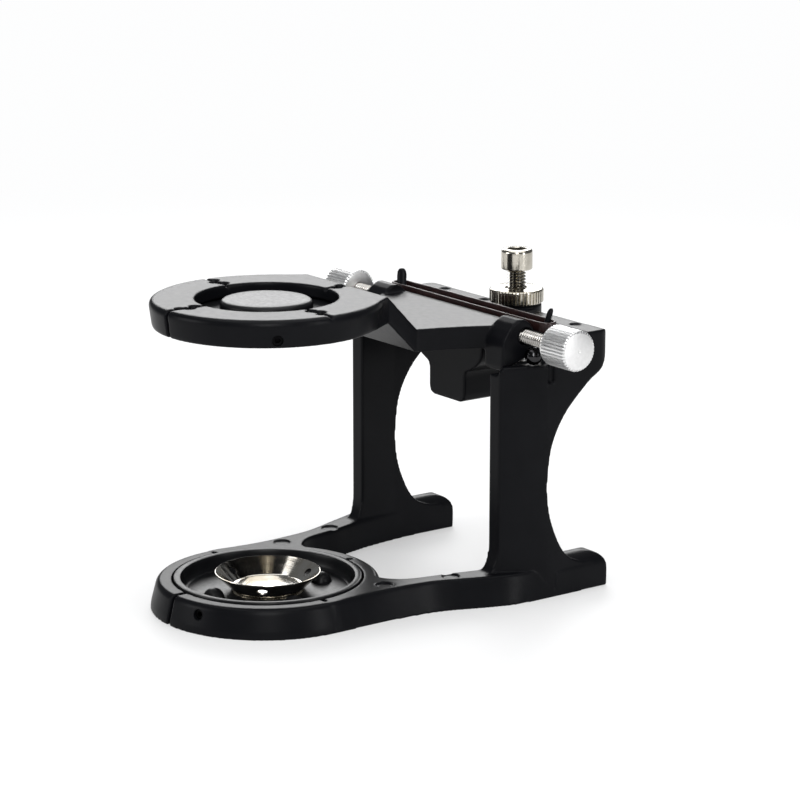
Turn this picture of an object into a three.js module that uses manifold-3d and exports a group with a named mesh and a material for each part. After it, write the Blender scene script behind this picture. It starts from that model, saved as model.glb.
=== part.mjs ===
// Dental articulator: a hand-held jaw simulator with a lower and an upper ring, a rear hinge,
// a height screw and two side thumbscrews. Millimetres, +Z up, rings towards -Y, floor at z = 0.
import * as THREE from 'three';
import * as BufferGeometryUtils from 'three/addons/utils/BufferGeometryUtils.js';
import Module from 'manifold-3d';

const wasm = await Module();
wasm.setup();

// ---- driving dimensions ------------------------------------------------------------------
const GAP = 0.3;                 // clearance left between neighbouring pieces
const LOWER_Y = -27.3;           // centre of the lower ring
const LOWER_R = 28.7;            // lower ring radius at the floor
const LOWER_TOP = 7.2;           // top face of the lower ring and legs
const BORE_R = 23.4;             // bore that takes the lower mounting plate
const LEDGE_R = 19.5;            // open radius below that bore
const LEDGE_Z = 2.0;
const UPPER_Y = -26.8;           // centre of the upper ring
const UPPER_R = 28.1;
const UPPER_LOW = 70.1;          // underside of the upper ring
const UPPER_TOP = 76.8;
const OPENING_R = 17.2;          // round opening in the top of the upper ring
const SOCKET_R = 22.9;           // bore under it that takes the upper mounting plate
const SOCKET_TOP = 73.6;
const SLIT = 1.1;                // slit through the front of both rings
const FOLD_Y = -3.4;             // fold where the upper frame starts to step down
const PLATE_LOW = 61.8;          // rear plate of the upper frame
const PLATE_TOP = 67.4;
const PLATE_REAR = 31.4;
const HINGE_Y = 28.9;            // hinge axis, along X
const HINGE_Z = 65.1;
const LUG_X0 = 23.3;             // hinge lugs of the upper frame
const LUG_X1 = 29.9;
const CHEEK_TOP = 58.7;          // top of the side cheeks
const BAR_Y0 = 42.3;             // crossbar
const BAR_Y1 = 49.7;
const BAR_LOW = 57.5;
const BAR_TOP = 65.5;
const SCREW_Y = 49.1;            // height screw, along Z
const SCREW_R = 2.4;
const SCREW_TIP = 52.9;
const HEAD_LOW = 74.8;
const TOTAL_HEIGHT = 80.0;
const NUT_R = 6.9;
const NUT_LOW = 66.3;
const NUT_TOP = 70.0;
const TAIL_LOW = 44.2;           // tail of the upper frame, under the crossbar
const TAIL_TOP = 52.4;
const TAIL_X = 7.4;
const STUD_R = 1.8;
const KNOB_R = 5.0;
const KNOB_IN = 40.8;
const KNOB_OUT = 50.0;
const BALL_R = 2.2;
const BALL_X = 32.6;
const BALL_Z = 60.8;
const MAGNET_R = 8.7;
const THREAD_PITCH = 0.8;
const HOOK_R = 1.25;             // band hooks, and the loop of the band round them
const HOOK_X = 30.0;
const HOOK_Y = 34.75;
const BAND_IN = 1.9;
const BAND_OUT = 2.55;
const BAND_LOW = 65.8;
const BAND_TOP = 68.4;

// ---- solids ------------------------------------------------------------------------------
function toSolid(geometry) {
  const bare = geometry.clone();
  bare.deleteAttribute('normal');
  bare.deleteAttribute('uv');
  const welded = BufferGeometryUtils.mergeVertices(bare, 1e-4);
  const index = welded.index.array;
  const kept = [];
  for (let i = 0; i < index.length; i += 3) {
    const [a, b, c] = [index[i], index[i + 1], index[i + 2]];
    if (a !== b && b !== c && c !== a) {
      kept.push(a, b, c);
    }
  }
  const build = (tris) => new wasm.Manifold(new wasm.Mesh({
    numProp: 3,
    vertProperties: new Float32Array(welded.attributes.position.array),
    triVerts: new Uint32Array(tris),
  }));
  const solid = build(kept);
  if (solid.volume() > 0) {
    return solid;
  }
  const flipped = [];
  for (let i = 0; i < kept.length; i += 3) {
    flipped.push(kept[i], kept[i + 2], kept[i + 1]);
  }
  return build(flipped);
}

function joined(...solids) {
  return solids.reduce((sum, next) => sum.add(next));
}

function cutBy(solid, ...tools) {
  return tools.reduce((rest, tool) => rest.subtract(tool), solid);
}

function mesh(name, solid, colour, metalness, roughness) {
  const raw = solid.getMesh();
  const geometry = new THREE.BufferGeometry();
  geometry.setAttribute('position', new THREE.BufferAttribute(new Float32Array(raw.vertProperties), 3));
  geometry.setIndex(new THREE.BufferAttribute(new Uint32Array(raw.triVerts), 1));
  const creased = BufferGeometryUtils.toCreasedNormals(geometry, 0.5);
  const material = new THREE.MeshStandardMaterial({ color: colour, metalness, roughness });
  material.name = name;
  const out = new THREE.Mesh(creased, material);
  out.name = name;
  return out;
}

// A plan outline pushed up from z0 to z1.
function prism(points, z0, z1) {
  const shape = new THREE.Shape(points.map(([x, y]) => new THREE.Vector2(x, y)));
  const geometry = new THREE.ExtrudeGeometry(shape, { depth: z1 - z0, bevelEnabled: false });
  geometry.translate(0, 0, z0);
  return toSolid(geometry);
}

// A side outline in (y, z) pushed along x, with its long edges rounded by `round`.
function slab(points, x0, x1, round = 0) {
  const shape = new THREE.Shape(points.map(([y, z]) => new THREE.Vector2(y, z)));
  const geometry = new THREE.ExtrudeGeometry(shape, {
    depth: x1 - x0 - 2 * round,
    bevelEnabled: round > 0,
    bevelThickness: round,
    bevelSize: round,
    bevelOffset: -round,
    bevelSegments: 2,
  });
  const basis = new THREE.Matrix4().makeBasis(
    new THREE.Vector3(0, 1, 0), new THREE.Vector3(0, 0, 1), new THREE.Vector3(1, 0, 0));
  geometry.applyMatrix4(basis);
  geometry.translate(x0 + round, 0, 0);
  return toSolid(geometry);
}

// A front outline in (x, z) pushed along y.
function frontSlab(points, y0, y1) {
  const shape = new THREE.Shape(points.map(([x, z]) => new THREE.Vector2(x, z)));
  const geometry = new THREE.ExtrudeGeometry(shape, { depth: y1 - y0, bevelEnabled: false });
  geometry.rotateX(Math.PI / 2);
  geometry.translate(0, y1, 0);
  return toSolid(geometry);
}

function box(x0, x1, y0, y1, z0, z1) {
  return prism([[x0, y0], [x1, y0], [x1, y1], [x0, y1]], z0, z1);
}

// A profile of [radius, z] pairs turned about a vertical axis.
function turned(profile, x, y, segments = 40) {
  const points = profile.map(([r, z]) => new THREE.Vector2(r, z));
  const geometry = new THREE.LatheGeometry(points, segments);
  geometry.rotateX(Math.PI / 2);
  geometry.translate(x, y, 0);
  return toSolid(geometry);
}

// A profile of [radius, x] pairs turned about an axis along x.
function turnedAlongX(profile, y, z, segments = 20) {
  const points = profile.map(([r, x]) => new THREE.Vector2(r, x));
  const geometry = new THREE.LatheGeometry(points, segments);
  geometry.rotateZ(-Math.PI / 2);
  geometry.translate(0, y, z);
  return toSolid(geometry);
}

function rod(r, z0, z1, x, y, segments = 24) {
  return turned([[0, z0], [r, z0], [r, z1], [0, z1]], x, y, segments);
}

function rodAlongX(r, x0, x1, y, z, segments = 20) {
  return turnedAlongX([[0, x0], [r, x0], [r, x1], [0, x1]], y, z, segments);
}

function ball(r, x, y, z, width = 16, height = 10) {
  const geometry = new THREE.SphereGeometry(r, width, height);
  geometry.translate(x, y, z);
  return toSolid(geometry);
}

function mirrored(solid) {
  return solid.mirror([1, 0, 0]);
}

function bothSides(solid) {
  return joined(solid, mirrored(solid));
}

function hexagon(r, u, v) {
  const corner = Math.PI / 3;
  return [0, 1, 2, 3, 4, 5].map((i) => [u + r * Math.cos(i * corner), v + r * Math.sin(i * corner)]);
}

// Outline of a straight-knurled wheel: `count` teeth between the two radii.
function knurled(outer, inner, count) {
  const points = [];
  for (let i = 0; i < count; i += 1) {
    for (const [part, r] of [[0.0, inner], [0.25, outer], [0.65, outer], [0.9, inner]]) {
      const angle = ((i + part) / count) * 2 * Math.PI;
      points.push([r * Math.cos(angle), r * Math.sin(angle)]);
    }
  }
  return points;
}

function smoothCurve(points, steps) {
  const curve = new THREE.SplineCurve(points.map(([a, b]) => new THREE.Vector2(a, b)));
  return curve.getPoints(steps).map((p) => [p.x, p.y]);
}

// ---- lower frame -------------------------------------------------------------------------
// Each leg outline is a list of [x, y] at the floor paired with [x, y] at the top face.
const LEG_OUTER = [
  [24.0, -34.0, 23.0, -33.0], [28.6, -28.0, 26.8, -27.5], [28.5, -20.0, 26.3, -20.5],
  [28.4, -13.4, 25.8, -14.0], [28.7, -6.0, 26.0, -7.5], [29.4, 0.8, 26.9, 1.0],
  [30.7, 6.0, 28.4, 6.4], [32.5, 10.6, 30.3, 11.2], [34.7, 16.4, 32.4, 16.8],
  [36.0, 21.0, 34.0, 21.4], [36.4, 26.0, 34.8, 26.4], [36.4, 34.0, 35.2, 34.0], [36.4, 42.0, 35.4, 42.0],
];
const LEG_INNER = [
  [27.7, 42.0, 28.2, 42.0], [27.4, 35.0, 28.0, 35.0], [26.5, 27.0, 27.3, 27.0],
  [25.4, 20.0, 26.4, 19.6], [24.2, 15.0, 25.3, 14.6], [22.8, 10.0, 24.0, 9.6],
  [21.8, 5.0, 23.0, 4.4], [21.0, 0.8, 21.9, 0.0], [19.2, -2.6, 19.9, -3.4],
  [16.6, -4.6, 16.8, -5.6], [12.0, -5.4, 12.0, -6.4], [13.0, -14.0, 13.0, -14.0], [20.0, -24.0, 20.0, -24.0],
];

function legSolid() {
  const ring = [...LEG_OUTER, ...LEG_INNER];
  const at = (share, z) => ring.map(([bx, by, tx, ty]) => [
    bx + (tx - bx) * share, by + (ty - by) * share, z]);
  const levels = [at(0, 0), at(0.8, 6.3), at(0.95, 7.0), at(1.15, LOWER_TOP)];
  const count = ring.length;
  const positions = levels.flat(2);
  const outline = levels[0].map(([x, y]) => new THREE.Vector2(x, y));
  const lid = THREE.ShapeUtils.triangulateShape(outline, []);
  const index = [];
  for (const [a, b, c] of lid) {
    index.push(c, b, a);
    const top = (levels.length - 1) * count;
    index.push(top + a, top + b, top + c);
  }
  for (let level = 0; level + 1 < levels.length; level += 1) {
    for (let i = 0; i < count; i += 1) {
      const j = (i + 1) % count;
      const low = level * count;
      const high = low + count;
      index.push(low + i, low + j, high + j, low + i, high + j, high + i);
    }
  }
  const geometry = new THREE.BufferGeometry();
  geometry.setAttribute('position', new THREE.BufferAttribute(new Float32Array(positions), 3));
  geometry.setIndex(index);
  return toSolid(geometry);
}

function footSolid() {
  const side = [[34, 0], [50.2, 0], [50.3, 3.6], [49.8, 5.6], [48.6, 7.0], [46.6, 7.7], [34, 7.7]];
  return slab(side, 27.8, 36.3, 1.3);
}

// Side cheek: the tall plate that carries the hinge seat and the crossbar.
function cheekSolid() {
  const rear = smoothCurve([
    [49.7, 61.9], [49.4, 58.9], [48.6, 56.7], [46.9, 55.0], [44.6, 53.8], [41.3, 51.0], [36.1, 45.6],
    [32.6, 38.6], [31.4, 31.0], [31.4, 25.0], [32.6, 19.0], [35.4, 12.6], [38.6, 9.0], [43.0, 7.3],
  ], 22);
  const side = [
    [19.9, 0], [46, 0], [46, 7.0], ...rear.slice().reverse(),
    [49.7, 64.6], [48.8, BAR_TOP], [43.2, BAR_TOP], [BAR_Y0, 64.6], [BAR_Y0, CHEEK_TOP],
    [20.9, CHEEK_TOP], [19.9, 57.7],
  ];
  const plan = [
    [26.6, 19.9], [30.6, 19.9], [31.6, 20.6], [33.6, 25.0], [35.5, 30.0], [36.0, 33.0],
    [36.0, 41.0], [35.6, 48.5], [34.4, 49.8], [27.8, 49.8], [27.8, 31.0],
  ];
  return slab(side, 26, 36.5).intersect(prism(plan, -1, 70));
}

function hookSolid() {
  const path = new THREE.CatmullRomCurve3([
    new THREE.Vector3(29.4, 34.6, 57.9), new THREE.Vector3(29.4, 34.5, 63.0),
    new THREE.Vector3(HOOK_X, HOOK_Y, 67.0), new THREE.Vector3(31.1, 35.3, 70.6),
  ]);
  const section = new THREE.Shape();
  section.absarc(0, 0, HOOK_R, 0, 2 * Math.PI, false);
  const tube = new THREE.ExtrudeGeometry(section, {
    extrudePath: path, steps: 7, curveSegments: 6, bevelEnabled: false,
  });
  return joined(toSolid(tube), ball(HOOK_R, 31.1, 35.3, 70.6, 12, 8));
}

function baseFrame() {
  const ring = turned([
    [0, 0], [LOWER_R, 0], [LOWER_R - 0.2, 1.6], [27.3, 6.2], [26.8, 6.9], [26.2, LOWER_TOP], [0, LOWER_TOP],
  ], 0, LOWER_Y, 48);
  const seatCut = box(26, 30.3, 19, 33, 56.6, 60);
  const side = cutBy(
    joined(legSolid(), footSolid(), cheekSolid(), hookSolid()),
    seatCut,
    ball(BALL_R + GAP, BALL_X, HINGE_Y, BALL_Z),
    box(35.2, 37, 32.9, 34.2, 50.8, 60),
    rod(2.2, LOWER_TOP - 0.5, 9, 22.4, -8.3, 16),
    rod(2.2, LOWER_TOP - 0.5, 9, 26.1, 9.0, 16),
  );
  const bar = joined(
    slab([[BAR_Y0, BAR_LOW], [BAR_Y1, BAR_LOW], [BAR_Y1, 64.6], [48.8, BAR_TOP], [43.2, BAR_TOP],
      [BAR_Y0, 64.6]], -30, 30),
    rod(6.4, BAR_LOW, BAR_TOP + 0.5, 0, SCREW_Y, 28),
  );
  const screwHole = rod(SCREW_R + GAP, BAR_LOW - 1, BAR_TOP + 2, 0, SCREW_Y);
  const recesses = [-27, -10, 10, 27].map((x) => rod(1.5, BAR_TOP - 0.5, BAR_TOP + 1, x, 46.6, 12));
  const bore = joined(
    rod(BORE_R, LEDGE_Z, 9, 0, LOWER_Y, 48),
    rod(LEDGE_R, -1, 9, 0, LOWER_Y, 40),
  );
  const slit = box(-SLIT / 2, SLIT / 2, -57, -45, -1, 9);
  const notches = [
    box(BORE_R - 0.5, 25.2, LOWER_Y - 0.5, LOWER_Y + 0.5, 6.2, 9),
    box(-25.2, -BORE_R + 0.5, LOWER_Y - 0.5, LOWER_Y + 0.5, 6.2, 9),
    box(-0.5, 0.5, LOWER_Y + BORE_R - 0.5, LOWER_Y + 25.2, 6.2, 9),
  ];
  return cutBy(
    joined(ring, bothSides(side), bar),
    bore, slit, screwHole, radialHole(1.6, -70, LOWER_Y, 4.6, 22, 30), ...notches, ...recesses,
  );
}

// A hole or rod pointing outwards from a ring centre at `degrees` from +X.
function radialHole(r, degrees, y, z, from, to) {
  return rodAlongX(r, from, to, 0, 0, 12).rotate([0, 0, degrees]).translate([0, y, z]);
}

// ---- upper frame -------------------------------------------------------------------------
function lugSolid() {
  const side = [
    [22.0, 57.2], [30.0, 60.4], [31.2, 61.6], [31.7, 63.0], [31.6, 65.6], [31.0, 67.1], [30.1, 68.2],
    [29.2, 69.0], [28.2, 69.4], [26.8, 69.5], [25.0, 68.6], [23.4, 67.0], [22.2, 65.2], [21.7, 63.4],
    [21.5, 58.0],
  ];
  return slab(side, LUG_X0 - 0.6, LUG_X1, 0.35);
}

function tailSolid() {
  const flare = smoothCurve([
    [TAIL_X, 51.0], [8.1, 52.4], [10.6, 53.6], [12.9, 55.2], [14.2, 57.4], [14.8, PLATE_LOW + 1],
  ], 9);
  const right = [[5.6, TAIL_LOW], [6.9, 44.8], [TAIL_X, 46.2], ...flare];
  const left = right.map(([x, z]) => [-x, z]).reverse();
  const hanging = frontSlab([...right, ...left], 27.0, 37.0);
  const ledge = box(-TAIL_X, TAIL_X, 36.0, 53.0, TAIL_LOW + 0.6, TAIL_TOP);
  return joined(hanging, ledge);
}

function upperFrame() {
  const ring = turned([
    [0, UPPER_LOW], [27.2, UPPER_LOW], [27.5, 70.8], [UPPER_R, 75.4], [27.8, 76.3], [27.0, UPPER_TOP],
    [0, UPPER_TOP],
  ], 0, UPPER_Y, 48);
  const half = [
    [0, 33], [24.4, PLATE_REAR + 1], [24.4, 25.2], [20.9, 18.6], [18.0, 11.6], [16.3, 6.0],
    [17.3, FOLD_Y], [21.6, -9.8], [24.0, -14.0], [20.0, -24.0],
  ];
  const plan = [...half, ...half.slice(1).reverse().map(([x, y]) => [-x, y])];
  const side = [
    [-60, UPPER_LOW], [FOLD_Y + 0.4, UPPER_LOW], [5.6, PLATE_LOW], [PLATE_REAR, PLATE_LOW],
    [PLATE_REAR, PLATE_TOP], [6.0, PLATE_TOP], [FOLD_Y, UPPER_TOP], [-60, UPPER_TOP],
  ];
  const body = joined(ring, prism(plan, 60, 78)).intersect(slab(side, -31, 31));
  const opening = joined(
    rod(OPENING_R, UPPER_LOW - 1, UPPER_TOP + 1, 0, UPPER_Y, 40),
    rod(SOCKET_R, UPPER_LOW - 1, SOCKET_TOP, 0, UPPER_Y, 48),
  );
  const slit = box(-SLIT / 2, SLIT / 2, -56, -40, UPPER_LOW - 1, UPPER_TOP + 1);
  const grooves = [];
  for (const turn of [0, 90, 180, 270]) {
    const groove = joined(
      box(OPENING_R - 1, 29, -0.4, 0.4, UPPER_TOP - 0.9, UPPER_TOP + 1),
      box(20.4, 25.2, -1.0, 1.0, UPPER_TOP - 1.1, UPPER_TOP + 1),
    );
    grooves.push(groove.rotate([0, 0, turn]).translate([0, UPPER_Y, 0]));
  }
  const pivotHole = rodAlongX(STUD_R + GAP, 21, 31, HINGE_Y, HINGE_Z);
  return cutBy(
    joined(body, bothSides(lugSolid()), tailSolid()),
    opening, slit, pivotHole, mirrored(pivotHole),
    rod(2.6 + GAP, TAIL_TOP - 1.2, TAIL_TOP + 1, 0, SCREW_Y),
    radialHole(1.6, -28, UPPER_Y, 72.0, 22, 30), ...grooves,
  );
}

// ---- plates, magnets and cup -------------------------------------------------------------
function lowerPlate() {
  const dish = turned([
    [0, 0.5], [10.6, 0.5], [11.0, 0.9], [11.0, 2.3], [23.1, 2.3], [23.1, 7.2], [22.7, 7.6], [21.6, 7.6],
    [21.0, 7.2], [20.7, 3.9], [0, 3.9],
  ], 0, LOWER_Y, 48);
  const domes = [-98, -8, 82, 172].map((degrees) => {
    const angle = THREE.MathUtils.degToRad(degrees);
    return ball(2.7, 14.5 * Math.cos(angle), LOWER_Y + 14.5 * Math.sin(angle), 3.5, 12, 8);
  });
  const bumps = joined(...domes).intersect(rod(20, 3.0, 9, 0, LOWER_Y, 32));
  return cutBy(
    joined(dish, bumps),
    rod(MAGNET_R + GAP, 1.3, 9, 0, LOWER_Y, 32),
    rod(1.3 + GAP, 0, 3, 0, LOWER_Y, 16),
  );
}

function magnet(z0, z1, y) {
  return turned([
    [0, z0], [MAGNET_R - 0.3, z0], [MAGNET_R, z0 + 0.3], [MAGNET_R, z1 - 0.3], [MAGNET_R - 0.3, z1], [0, z1],
  ], 0, y, 32);
}

function lowerMagnet() {
  const sink = turned([[0, 1], [1.7, 1], [1.7, 2.4], [3.5, 4.2], [3.5, 5], [0, 5]], 0, LOWER_Y, 20);
  return magnet(1.6, 4.0, LOWER_Y).subtract(sink);
}

function lowerMagnetScrew() {
  return turned([[0, 0.6], [1.0, 0.6], [1.3, 0.9], [1.3, 2.2], [2.9, 3.8], [2.9, 3.9], [0, 3.9]],
    0, LOWER_Y, 20).subtract(box(-2, 2, LOWER_Y - 0.35, LOWER_Y + 0.35, 3.3, 5));
}

function upperPlate() {
  const back = turned([
    [0, 70.3], [22.2, 70.3], [22.6, 70.7], [22.6, 73.3], [11.2, 73.3], [11.2, 75.5], [10.6, 76.3], [0, 76.4],
  ], 0, UPPER_Y, 48);
  return cutBy(
    back,
    rod(MAGNET_R + GAP, 69, 73.2, 0, UPPER_Y, 32),
    rod(1.3 + GAP, 70, 75.0, 0, UPPER_Y, 16),
  );
}

function upperMagnet() {
  const sink = turned([[0, 74], [1.7, 74], [1.7, 72.2], [3.5, 70.4], [3.5, 69], [0, 69]], 0, UPPER_Y, 20);
  return magnet(70.4, 72.9, UPPER_Y).subtract(sink);
}

function upperMagnetScrew() {
  return turned([[0, 70.6], [2.9, 70.6], [2.9, 70.7], [1.3, 72.3], [1.3, 74.4], [1.0, 74.7], [0, 74.7]],
    0, UPPER_Y, 20).subtract(box(-2, 2, UPPER_Y - 0.35, UPPER_Y + 0.35, 69, 71.2));
}

function retentionCup() {
  const shell = turned([
    [0, 4.3], [8.6, 4.3], [9.0, 4.5], [12.7, 8.1], [12.9, 8.4], [12.7, 8.6], [12.2, 8.5], [8.3, 5.0],
    [8.0, 4.9], [0, 4.9],
  ], 0, LOWER_Y, 40);
  const holes = [80, 200, 320].map((degrees) => {
    const drill = rodAlongX(1.2, -4, 4, 0, 0, 12).rotate([0, 45, 0]).translate([10.6, 0, 6.7]);
    return drill.rotate([0, 0, degrees]).translate([0, LOWER_Y, 0]);
  });
  return cutBy(shell, ...holes);
}

function ringScrew(degrees, y, z, from, to) {
  const body = turnedAlongX([[0, from], [1.0, from], [1.3, from + 0.3], [1.3, to], [0, to]], 0, 0, 16);
  const socket = slab(hexagon(0.75, 0, 0), to - 1.4, to + 1);
  return body.subtract(socket).rotate([0, 0, degrees]).translate([0, y, z]);
}

// ---- screws, nut, knobs and band ---------------------------------------------------------
function heightScrew() {
  const profile = [[0, SCREW_TIP], [1.2, SCREW_TIP], [SCREW_R, SCREW_TIP + 1.2]];
  for (let z = NUT_TOP + 0.2; z < HEAD_LOW - 1.0; z += THREAD_PITCH) {
    profile.push([SCREW_R, z], [SCREW_R - 0.3, z + THREAD_PITCH / 2]);
  }
  profile.push([SCREW_R, HEAD_LOW], [3.8, HEAD_LOW], [4.0, HEAD_LOW + 0.3], [4.0, 79.5], [3.5, TOTAL_HEIGHT]);
  profile.push([0, TOTAL_HEIGHT]);
  return turned(profile, 0, SCREW_Y, 24).subtract(prism(hexagon(2.3, 0, SCREW_Y), 77.2, 81));
}

function lockNut() {
  const teeth = knurled(NUT_R, NUT_R - 0.35, 28).map(([x, y]) => [x, y + SCREW_Y]);
  const chamfer = turned([
    [0, NUT_LOW], [NUT_R - 0.5, NUT_LOW], [NUT_R, NUT_LOW + 0.4], [NUT_R, NUT_TOP - 0.4],
    [NUT_R - 0.5, NUT_TOP], [0, NUT_TOP],
  ], 0, SCREW_Y, 28);
  const blank = prism(teeth, NUT_LOW - 1, NUT_TOP + 1).intersect(chamfer);
  return blank.subtract(rod(SCREW_R + GAP, NUT_LOW - 1, NUT_TOP + 1, 0, SCREW_Y));
}

function knob() {
  const teeth = knurled(KNOB_R, KNOB_R - 0.35, 20).map(([y, z]) => [y + HINGE_Y, z + HINGE_Z]);
  const grip = slab(teeth, KNOB_IN - 1, 46.5);
  const cap = turnedAlongX([
    [0, KNOB_IN], [4.6, KNOB_IN], [KNOB_R, KNOB_IN + 0.4], [KNOB_R, 48.6], [4.5, 49.7], [4.1, KNOB_OUT],
    [0, KNOB_OUT],
  ], HINGE_Y, HINGE_Z, 28);
  const smooth = rodAlongX(KNOB_R, 46.4, 51, HINGE_Y, HINGE_Z, 28);
  const blind = rodAlongX(STUD_R + GAP, KNOB_IN - 1, 46.0, HINGE_Y, HINGE_Z);
  return cutBy(joined(grip, smooth).intersect(cap), blind);
}

function stud() {
  const profile = [[0, 23.5], [1.3, 23.5], [STUD_R, 24.0], [STUD_R, 45.7], [0, 45.7]];
  return turnedAlongX(profile, HINGE_Y, HINGE_Z);
}

function rubberBand() {
  const arc = (cx, from, r) => {
    const points = [];
    for (let i = 0; i <= 10; i += 1) {
      const angle = from + (Math.PI * i) / 10;
      points.push([cx + r * Math.cos(angle), HOOK_Y + r * Math.sin(angle)]);
    }
    return points;
  };
  const loop = (r, low, top) => prism(
    [...arc(HOOK_X, -Math.PI / 2, r), ...arc(-HOOK_X, Math.PI / 2, r)], low, top);
  return loop(BAND_OUT, BAND_LOW, BAND_TOP).subtract(loop(BAND_IN, BAND_LOW - 1, BAND_TOP + 1));
}

// ---- assembly ----------------------------------------------------------------------------
const BLACK = 0x17181a;
const STEEL = 0xb9b6ad;
const ALLOY = 0xd9dadb;
const CHROME = 0xe6e8ea;

const part = new THREE.Group();
part.name = 'dental_articulator';
part.add(mesh('base_frame', baseFrame(), BLACK, 0.1, 0.35));
part.add(mesh('lower_mounting_plate', lowerPlate(), 0x1f2022, 0.0, 0.5));
part.add(mesh('lower_magnet', lowerMagnet(), 0x9a9c9f, 0.9, 0.3));
part.add(mesh('lower_magnet_screw', lowerMagnetScrew(), STEEL, 1.0, 0.3));
part.add(mesh('lower_ring_set_screw', ringScrew(-70, LOWER_Y, 4.6, 23.4, 27.0), 0x2a2a2c, 0.8, 0.4));
part.add(mesh('retention_cup', retentionCup(), CHROME, 1.0, 0.08));
part.add(mesh('upper_frame', upperFrame(), BLACK, 0.1, 0.35));
part.add(mesh('upper_mounting_plate', upperPlate(), 0x1f2022, 0.0, 0.5));
part.add(mesh('upper_magnet', upperMagnet(), 0x9a9c9f, 0.9, 0.3));
part.add(mesh('upper_magnet_screw', upperMagnetScrew(), STEEL, 1.0, 0.3));
part.add(mesh('upper_ring_set_screw', ringScrew(-28, UPPER_Y, 72.0, 22.9, 26.9), 0x2a2a2c, 0.8, 0.4));
part.add(mesh('height_screw', heightScrew(), STEEL, 1.0, 0.2));
part.add(mesh('lock_nut', lockNut(), STEEL, 1.0, 0.25));
part.add(mesh('stop_pad', rod(2.6, TAIL_TOP - 0.9, TAIL_TOP + 0.2, 0, SCREW_Y), STEEL, 1.0, 0.3));
part.add(mesh('rubber_band', rubberBand(), 0x5a2a26, 0.0, 0.6));
for (const [side, turn] of [['right', (s) => s], ['left', mirrored]]) {
  part.add(mesh(`thumbscrew_knob_${side}`, turn(knob()), ALLOY, 1.0, 0.3));
  part.add(mesh(`thumbscrew_stud_${side}`, turn(stud()), STEEL, 1.0, 0.3));
  part.add(mesh(`bearing_ball_${side}`, turn(ball(BALL_R, BALL_X, HINGE_Y, BALL_Z)), CHROME, 1.0, 0.1));
}

export default part;
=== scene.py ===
# Dental articulator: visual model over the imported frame. Metres in the scene; shapes are built in
# millimetres and scaled when each piece is finished. +Z up, rings towards -Y, floor at z = 0.
import math

import bmesh
import bpy
from mathutils import Matrix, Vector, noise


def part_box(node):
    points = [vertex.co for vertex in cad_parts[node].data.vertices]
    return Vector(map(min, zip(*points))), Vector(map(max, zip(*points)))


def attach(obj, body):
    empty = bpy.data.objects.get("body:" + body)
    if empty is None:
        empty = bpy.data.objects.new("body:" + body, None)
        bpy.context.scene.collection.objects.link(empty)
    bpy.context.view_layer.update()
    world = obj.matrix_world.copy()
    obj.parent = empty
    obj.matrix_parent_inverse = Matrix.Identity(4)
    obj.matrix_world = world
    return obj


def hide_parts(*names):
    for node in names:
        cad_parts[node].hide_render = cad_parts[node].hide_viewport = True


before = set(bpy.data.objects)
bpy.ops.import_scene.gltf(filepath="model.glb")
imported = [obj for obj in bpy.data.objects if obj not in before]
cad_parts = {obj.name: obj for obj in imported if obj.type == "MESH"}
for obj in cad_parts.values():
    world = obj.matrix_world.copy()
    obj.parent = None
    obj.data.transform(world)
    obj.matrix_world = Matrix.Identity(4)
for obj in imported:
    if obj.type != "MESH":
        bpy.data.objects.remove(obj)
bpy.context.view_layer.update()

MM = 0.001


# ---- places taken from the frame ----------------------------------------------------------
def low_high(node):
    """Lowest and highest corner of a CAD node, in millimetres."""
    low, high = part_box(node)
    return Vector(low) / MM, Vector(high) / MM


def middle(node):
    low, high = low_high(node)
    return (low + high) / 2


LOWER_Y = middle("retention_cup").y
UPPER_Y = middle("upper_magnet").y
SCREW_Y = middle("height_screw").y
SCREW_LOW = low_high("height_screw")[0].z
SCREW_TOP = low_high("height_screw")[1].z
NUT_LOW, NUT_TOP = (corner.z for corner in low_high("lock_nut"))
HINGE_Y = middle("thumbscrew_stud_right").y
HINGE_Z = middle("thumbscrew_stud_right").z
KNOB_IN, KNOB_OUT = (corner.x for corner in low_high("thumbscrew_knob_right"))
STUD_IN, STUD_OUT = (corner.x for corner in low_high("thumbscrew_stud_right"))
BALL = middle("bearing_ball_right")
BAND_LOW, BAND_TOP = (corner.z for corner in low_high("rubber_band"))

# ---- sizes of the castings ----------------------------------------------------------------
LOWER_R = 28.7
LOWER_TOP = 7.2
BORE_R = 23.4
LEDGE_R = 19.5
UPPER_LOW = 70.1
UPPER_TOP = 76.8
OPENING_R = 17.2
SOCKET_R = 22.9
SOCKET_TOP = 73.6
SLIT = 1.1
FOLD_Y = -3.4
PLATE_LOW = 61.8
PLATE_TOP = 67.4
PLATE_REAR = 31.4
CHEEK_TOP = 58.7
BAR_FRONT = 42.3
BAR_REAR = 49.7
BAR_LOW = 57.5
BAR_TOP = 65.5
TAIL_LOW = 44.2
TAIL_TOP = 52.4
TAIL_X = 7.4
SCREW_R = 2.4
SCREW_NECK = 74.8
NUT_R = 6.9
STUD_R = 1.8
KNOB_R = 5.0
HOOK_X = 30.0
HOOK_Y = 34.75
HOOK_WIDE = 1.5
HOOK_THIN = 0.85
HOOK_TURN = 145
BAND_R = 2.22
BALL_R = 2.2
MAGNET_R = 8.7
MAGNET_SCREW_R = 1.3
SET_HOLE_R = 1.36
LOWER_SET_DEGREES = -70
LOWER_SET_Z = 4.6
UPPER_SET_DEGREES = -28
UPPER_SET_Z = 72.0
FOOT_TOP = 9.1
GAP = 0.3
PITCH = 0.8
VOXEL = 0.34


# ---- solids, in millimetres ---------------------------------------------------------------
# An outline (u, v) lies on the plan as (x, y), on the side as (y, z) or on the front as (x, z).
# Its depth w runs along the axis that is left.
def on_plan(u, v, w):
    return (u, v, w)


def on_side(u, v, w):
    return (w, u, v)


def on_front(u, v, w):
    return (u, w, v)


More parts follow.
